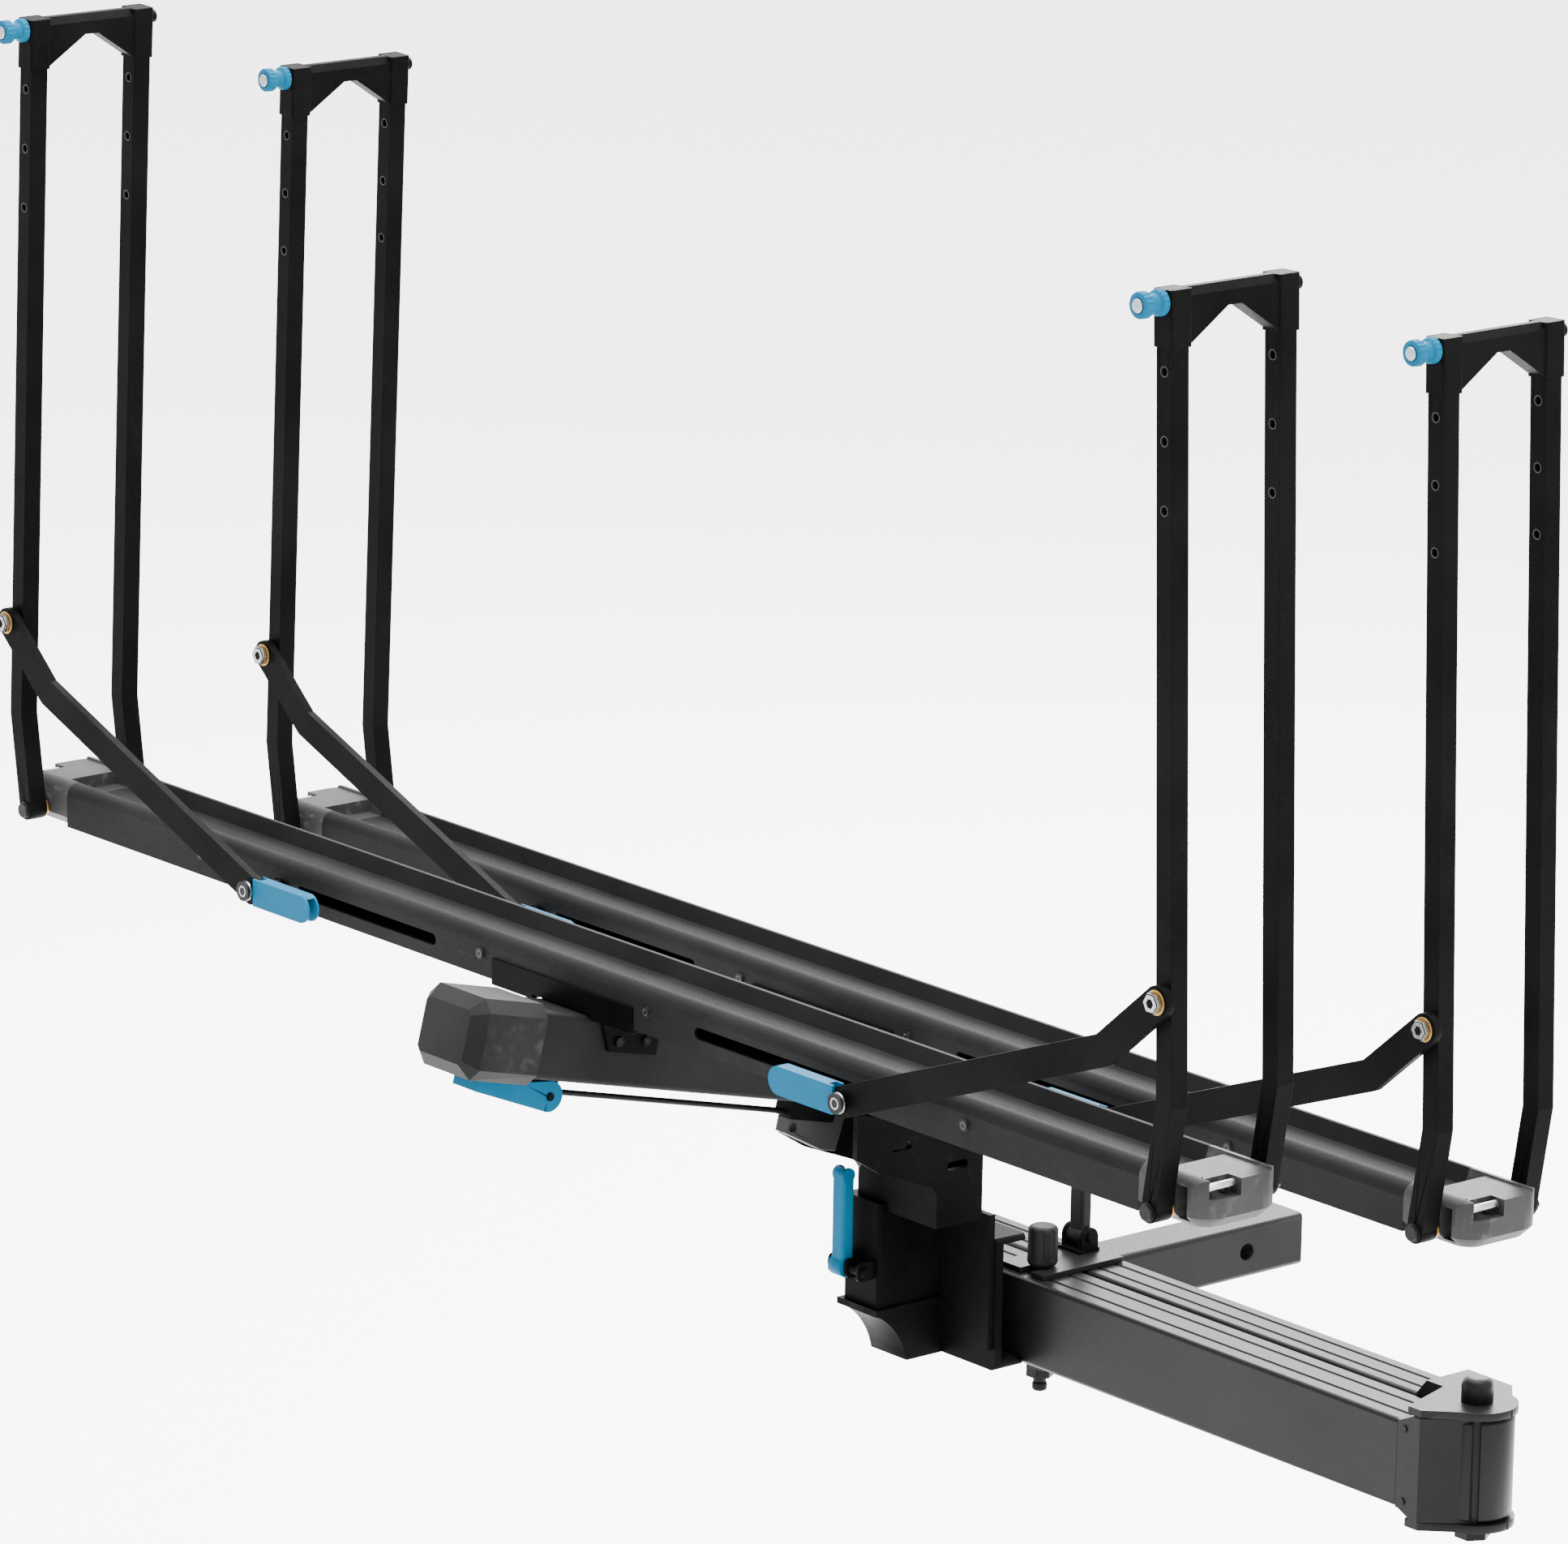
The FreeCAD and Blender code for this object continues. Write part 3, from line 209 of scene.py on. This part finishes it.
def brushed(name, color, roughness, stretch, metallic=1.0, depth=0.15, shine=0.5):
    """Plated or dyed metal with fine lines along one direction and slightly duller patches."""
    paint = Paint(name, color, roughness, metallic, shine)
    lines = paint.noise(500, 4, stretch)
    dull = tuple(c * 0.8 for c in color)
    patchy = paint.mix(paint.ramp(paint.noise(30, 3), 0, 0.6), color, dull)
    paint.link(paint.mix(paint.ramp(lines, 0, 0.7), patchy, dull), "Base Color")
    paint.link(paint.ramp(lines, roughness * 0.8, roughness * 1.25), "Roughness")
    paint.bump(lines, depth, 0.0003)
    return paint.material


def moulded(name, color, roughness=0.55, shine=0.3):
    """Moulded plastic with a fine spark-eroded texture."""
    paint = Paint(name, color, roughness, shine=shine)
    grain = paint.noise(1400, 2)
    shade = tuple(c * 1.3 + 0.002 for c in color)
    body = paint.mix(paint.ramp(paint.noise(14, 2), 0, 1), color, shade)
    wear = paint.times(paint.ramp(paint.noise(90, 5), 0, 0.8, 0.5, 0.7), paint.edge())
    paint.link(paint.mix(wear, body, tuple(c * 3 + 0.02 for c in color)), "Base Color")
    paint.link(paint.ramp(grain, roughness - 0.08, roughness + 0.1), "Roughness")
    paint.bump(grain, 0.3, 0.0003)
    return paint.material


PAINTS = {
    "arm": coated("arm_coat", (0.0024, 0.00245, 0.0026), (0.016, 0.016, 0.017), 0.38, 0.07),
    # frame_coat is the same black powder coat as arm_coat, about four times darker: painted shade for the
    # shaded legs and mast
    "frame": coated("frame_coat", (0.0006, 0.00061, 0.00065), (0.007, 0.007, 0.0074), 0.46, 0.014),
    "tray": coated("tray_coat", (0.0036, 0.0037, 0.0039), (0.018, 0.018, 0.019), 0.60, 0.035, 900),
    "plastic": moulded("black_plastic", (0.0022, 0.0022, 0.0024), shine=0.06),
    "nose": moulded("nose_plastic", (0.0090, 0.0091, 0.0095), 0.5, 0.10),
    "blue": brushed("blue_anodised", (0.0, 0.056, 0.110), 0.45, (1, 1, 12), metallic=0.0, shine=0.03),
    "zinc": brushed("zinc", (0.26, 0.265, 0.28), 0.28, (4, 4, 1)),
    "dull_zinc": brushed("dull_zinc", (0.022, 0.0225, 0.024), 0.40, (4, 4, 1), metallic=0.8),
    "dark_steel": brushed("dark_steel", (0.0045, 0.0045, 0.0050), 0.46, (3, 3, 1), metallic=0.6, shine=0.1),
    "brass": brushed("brass", (0.24, 0.14, 0.035), 0.32, (4, 4, 1)),
}
BY_SLOT = {"black_powder_coat": "frame", "tray_aluminium": "tray", "black_plastic": "plastic",
           "blue_anodised": "blue", "zinc_hardware": "zinc", "brass": "brass"}
BY_NODE = {"fixed_arm": "arm", "swing_arm": "arm", "swing_knuckle": "arm", "pivot_clevis": "arm",
           "hitch_shank": "arm", "latch_tongues": "arm", "tilt_lug": "nose", "spine_tube": "tray",
           "pivot_bolt": "dark_steel", "pivot_nut": "dark_steel", "knuckle_screws": "dark_steel",
           "tray_fasteners": "dark_steel", "tilt_bolt": "dark_steel", "clamp_knob": "plastic",
           "pull_rod": "dark_steel"}
BY_ENDING = {"_axle": "dark_steel", "_tray_ends": "nose", "_crossbar": "frame", "_carriage": "dark_steel"}


# ---- CAD nodes ------------------------------------------------------------------------------
def paint_of(name, slot_name):
    """Material of a CAD node: by the end of its name, then by its own entry, then by its slot."""
    for ending, key in BY_ENDING.items():
        if name.endswith(ending):
            return PAINTS[key]
    return PAINTS[BY_NODE.get(name, BY_SLOT[slot_name])]


def dress_nodes():
    """Weld, soften the edges and give every carried-over node its material."""
    slots = {s["node"]: s["material_slot"] for s in frame["record"]["subparts"]}
    for name, piece in nodes.items():
        weld = piece.modifiers.new("weld", "WELD")
        weld.merge_threshold = WELD_GAP
        bevel = piece.modifiers.new("bevel", "BEVEL")
        bevel.width = 0.0014 if name.endswith(("_tray", "_tray_ends", "mast")) else 0.0009
        bevel.segments = 2
        bevel.limit_method = "ANGLE"
        bevel.angle_limit = math.radians(35)
        bevel.harden_normals = True
        for index in range(len(piece.material_slots)):
            piece.material_slots[index].material = paint_of(name, slots[name])


# ---- detailed pieces --------------------------------------------------------------------------
def solids_of(node):
    """Boxes of the separate solids in one CAD node, as (low corner, high corner), in a fixed order."""
    work = bmesh.new()
    work.from_mesh(nodes[node].data)
    bmesh.ops.remove_doubles(work, verts=work.verts, dist=WELD_GAP)
    left, boxes = set(work.verts), []
    while left:
        stack, seen = [left.pop()], []
        while stack:
            vert = stack.pop()
            seen.append(vert.co.copy())
            for edge in vert.link_edges:
                other = edge.other_vert(vert)
                if other in left:
                    left.remove(other)
                    stack.append(other)
        boxes.append((Vector(min(c[k] for c in seen) for k in range(3)),
                      Vector(max(c[k] for c in seen) for k in range(3))))
    work.free()
    return sorted(boxes, key=lambda pair: tuple(round(c, 5) for c in pair[0]))


def add_piece(name, work, paint, body, sharp=32):
    """Object made from a bmesh, smooth but for edges sharper than the angle, riding on a body."""
    mesh = bpy.data.meshes.new(name)
    bmesh.ops.recalc_face_normals(work, faces=work.faces)
    for face in work.faces:
        face.smooth = True
    work.to_mesh(mesh)
    work.free()
    mesh.set_sharp_from_angle(angle=math.radians(sharp))
    mesh.materials.append(paint)
    piece = bpy.data.objects.new(name, mesh)
    bpy.context.scene.collection.objects.link(piece)
    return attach(piece, body)


def turned(name, profile, centre, axis, paint, body, sides=40, teeth=0, depth=0.0):
    """Turned part from (radius, height) points along an axis; a third value marks a knurled row."""
    work = bmesh.new()
    frame_at = Matrix.Translation(centre) @ Vector(axis).to_track_quat("Z", "Y").to_matrix().to_4x4()
    rings = []
    for row in profile:
        radius, height = row[0], row[1]
        knurled = len(row) > 2
        if radius == 0:
            rings.append([work.verts.new(frame_at @ Vector((0, 0, height)))])
            continue
        ring = []
        for k in range(sides):
            angle = 2 * math.pi * k / sides
            reach = radius - (depth * (0.5 - 0.5 * math.cos(teeth * angle)) if knurled else 0)
            corner = Vector((reach * math.cos(angle), reach * math.sin(angle), height))
            ring.append(work.verts.new(frame_at @ corner))
        rings.append(ring)
    for lower, upper in zip(rings, rings[1:]):
        for k in range(sides):
            corners = [lower[k % len(lower)], lower[(k + 1) % len(lower)],
                       upper[(k + 1) % len(upper)], upper[k % len(upper)]]
            unique = list(dict.fromkeys(corners))
            if len(unique) > 2:
                work.faces.new(unique)
    return add_piece(name, work, paint, body)


def hex_bolt(label, centre, axis, across, height, paint, body):
    """Hexagon head with a chamfered crown and a raised washer face."""
    r = across / 2 / math.cos(math.pi / 6)
    head = [(0, 0), (r * 0.97, 0), (r, height * 0.08), (r, height * 0.8), (r * 0.86, height),
            (r * 0.5, height), (r * 0.46, height * 0.9), (0, height * 0.9)]
    return turned(label, head, centre, axis, paint, body, sides=6)


def washer(label, centre, axis, outer, inner, thick, paint, body):
    """Flat ring with small chamfers on its outer edge."""
    rim = thick * 0.25
    ring = [(inner, 0), (outer - rim, 0), (outer, rim), (outer, thick - rim), (outer - rim, thick),
            (inner, thick), (inner, 0)]
    return turned(label, ring, centre, axis, paint, body, sides=48)


JOINTS = {j["name"]: j for j in frame["record"]["behaviour"]["joints"]}
HOOPS = [tray + "_" + side for tray in ("outer", "inner") for side in ("left", "right")]
OUT = Vector((0, -1, 0))    # knobs, braces and bolt heads face away from the car


def knobs():
    """Blue spool knobs with knurled flanges and a bright end button."""
    spool = [(0, 0), (0.0094, 0), (0.0108, 0.0008), (0.0110, 0.0014, 1), (0.0110, 0.0050, 1),
             (0.0104, 0.0060), (0.0080, 0.0076), (0.0074, 0.0110), (0.0080, 0.0144), (0.0102, 0.0162),
             (0.0110, 0.0172, 1), (0.0110, 0.0232, 1), (0.0104, 0.0244), (0.0070, 0.0250),
             (0.0062, 0.0244), (0, 0.0244)]
    button = [(0.0060, 0.0240), (0.0058, 0.0256), (0.0048, 0.0266), (0, 0.0270)]
    for hoop in HOOPS:
        joint = JOINTS[hoop + "_knob_turn"]
        low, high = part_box(hoop + "_knob")
        x, _, z = joint["pos_m"]
        base = Vector((x, low.y + KNOB_LENGTH, z))
        reach = high.y - base.y
        knob = hoop + "_top_knob"
        grip = turned(hoop + "_knob_grip", spool, base, OUT, PAINTS["blue"], knob, sides=96, teeth=16,
                      depth=0.0009)
        turned(hoop + "_knob_button", button, base, OUT, PAINTS["zinc"], knob)
        stud = [(0, 0), (0.0040, 0), (0.0040, reach - STUD_TIP), (0.0032, reach), (0, reach)]
        turned(hoop + "_knob_stud", stud, base, -OUT, PAINTS["zinc"], knob)
        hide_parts(hoop + "_knob")


def hole_glint_rims():
    """Dull zinc rims in the adjustment holes, just below the face that the collars slide over: painted
    highlights standing in for the light that shows through the holes.
    """
    ring = [(0.0034, -0.0018), (0.0044, -0.0018), (0.0044, -0.0001), (0.0037, -0.0001), (0.0034, -0.0018)]
    for hoop in HOOPS:
        slide = JOINTS[hoop + "_top_bar_slide"]
        step = slide["range_m"][1] / 3
        first = Vector(JOINTS[hoop + "_knob_turn"]["pos_m"])
        low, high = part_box(hoop + "_legs")
        for number in (1, 2, 3):
            spot = first + Vector(slide["axis"]) * step * number
            for row, face_y in (("near", low.y), ("far", high.y - LEG_WIDTH)):
                # each rim is a painted highlight for the light seen through one hole
                at = Vector((spot.x, face_y, spot.z))
                label = f"{hoop}_{row}_eyelet_{number}"
                turned(label, ring, at, OUT, PAINTS["dull_zinc"], hoop + "_hoop")


def brace_hardware():
    """Zinc bolts with brass washers at the top of each brace, and the domed pin heads at its foot."""
    dome = [(0, 0), (0.0091, 0), (0.0092, 0.0012), (0.0088, 0.0028), (0.0074, 0.0042), (0.0046, 0.0048),
            (0.0038, 0.0047), (0.0034, 0.0028), (0, 0.0026)]
    washer_thick = 0.0016
    for hoop in HOOPS:
        strut = hoop + "_strut"
        low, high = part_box(hoop + "_brace")
        eye_x = high.x - BRACE_EYE if hoop.endswith("right") else low.x + BRACE_EYE
        eye_z = high.z - BRACE_EYE
        face = Vector((eye_x, low.y + BRACE_FACE, eye_z))
        back = Vector((eye_x, high.y, eye_z))
        washer(hoop + "_bolt_washer", face, OUT, 0.0104, 0.004, washer_thick, PAINTS["brass"], strut)
        bolt_seat = face + OUT * washer_thick
        hex_bolt(hoop + "_bolt_head", bolt_seat, OUT, 0.0152, 0.0056, PAINTS["zinc"], strut)
        washer(hoop + "_back_washer", back, OUT, 0.0106, 0.004, 0.0027, PAINTS["brass"], strut)
        foot = Vector(JOINTS[hoop + "_strut_fold"]["pos_m"])
        pin_seat = Vector((foot.x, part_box(hoop + "_carriage")[0].y + 0.0047, foot.z))
        turned(hoop + "_pin_head", dome, pin_seat, OUT, PAINTS["zinc"], hoop + "_slider")


def foot_bushings():
    """Brass thrust washers between the feet of a hoop and its tray end."""
    for hoop in HOOPS:
        pivot = Vector(JOINTS[hoop + "_fold"]["pos_m"])
        tray_low, tray_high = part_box(hoop.split("_")[0] + "_tray_ends")
        for label, face_y, way in (("near", tray_low.y, -1), ("far", tray_high.y, 1)):
            at = Vector((pivot.x, face_y + way * 0.0003, pivot.z))
            washer(f"{hoop}_{label}_bushing", at, (0, way, 0), 0.0088, 0.0052, 0.0028, PAINTS["brass"],
                   hoop + "_hoop")


def tray_bolts():
    """Button heads on the sides of the trays and dark hexagon heads on the saddle cheeks."""
    between_trays = (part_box("outer_tray")[0].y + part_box("inner_tray")[1].y) / 2
    for number, (low, high) in enumerate(solids_of("tray_fasteners")):
        size, centre = high - low, (low + high) / 2
        if size.y < size.x:
            tray = "outer_tray" if centre.y < between_trays else "inner_tray"
            middle = sum(corner.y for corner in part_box(tray)) / 2
            out = Vector((0, 1 if centre.y > middle else -1, 0))
            r, h = size.x / 2 + 0.0001, size.y
            seat = Vector((centre.x, high.y if out.y < 0 else low.y, centre.z))
            head = [(0, 0), (r, 0), (r, h * 0.25), (r * 0.86, h * 0.75), (r * 0.55, h + 0.0002),
                    (r * 0.42, h), (r * 0.36, h * 0.45), (0, h * 0.4)]
            turned(f"tray_bolt_{number}", head, seat, out, PAINTS["dull_zinc"], "platform")
        else:
            out = Vector((1 if centre.x > 0 else -1, 0, 0))
            seat = Vector((low.x if out.x > 0 else high.x, centre.y, centre.z))
            hex_bolt(f"saddle_bolt_{number}", seat, out, size.z, size.x, PAINTS["dark_steel"], "platform")


def strap_hooks():
    """Bright wire loops in the nose of each tray, bent in at both ends."""
    for number, (low, high) in enumerate(solids_of("strap_loops")):
        centre, r = (low + high) / 2, (high.z - low.z) / 2
        way = -1 if centre.x > 0 else 1
        curve = bpy.data.curves.new(f"strap_wire_{number}", "CURVE")
        curve.dimensions = "3D"
        curve.bevel_depth = r
        curve.bevel_resolution = 6
        line = curve.splines.new("POLY")
        path = [(way * 0.006, high.y - 2 * r, -0.006), (way * 0.001, high.y - 1.4 * r, -0.001),
                (0, high.y - 2.4 * r, 0), (0, low.y + 2.4 * r, 0),
                (way * 0.001, low.y + 1.4 * r, -0.001), (way * 0.006, low.y + 2 * r, -0.006)]
        line.points.add(len(path) - 1)
        for point, (dx, y, dz) in zip(line.points, path):
            point.co = (centre.x + dx, y, centre.z + dz, 1)
        wire = bpy.data.objects.new(f"strap_wire_{number}", curve)
        curve.materials.append(PAINTS["zinc"])
        bpy.context.scene.collection.objects.link(wire)
        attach(wire, "platform")


def weld_bead(label, corners, body, r=0.0028):
    """Rippled weld bead along a closed line of corners."""
    work = bmesh.new()
    sides, step = 8, 0.0022
    rows = []
    for start, end in zip(corners, corners[1:] + corners[:1]):
        start, end = Vector(start), Vector(end)
        turn = (end - start).normalized().to_track_quat("Z", "Y").to_matrix()
        count = max(2, int((end - start).length / step))
        for k in range(count):
            wide = r * (0.86 + 0.14 * math.cos(math.pi * k))
            at = start + (end - start) * k / count
            row = []
            for n in range(sides):
                angle = 2 * math.pi * n / sides
                ray = Vector((wide * math.cos(angle), wide * math.sin(angle), 0))
                row.append(work.verts.new(at + turn @ ray))
            rows.append(row)
    for first, second in zip(rows, rows[1:] + rows[:1]):
        for n in range(sides):
            work.faces.new([first[n], first[(n + 1) % sides], second[(n + 1) % sides], second[n]])
    add_piece(label, work, PAINTS["arm"], body, 60)


def shank_weld():
    """Weld where the square shank meets the face of the fixed arm."""
    low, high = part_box("hitch_shank")
    y = low.y
    corners = [(low.x, y, low.z), (high.x, y, low.z), (high.x, y, high.z), (low.x, y, high.z)]
    weld_bead("shank_weld", corners, "hitch_arm")


camera()
stage()
dress_nodes()
knobs()
hole_glint_rims()
brace_hardware()
foot_bushings()
tray_bolts()
strap_hooks()
shank_weld()
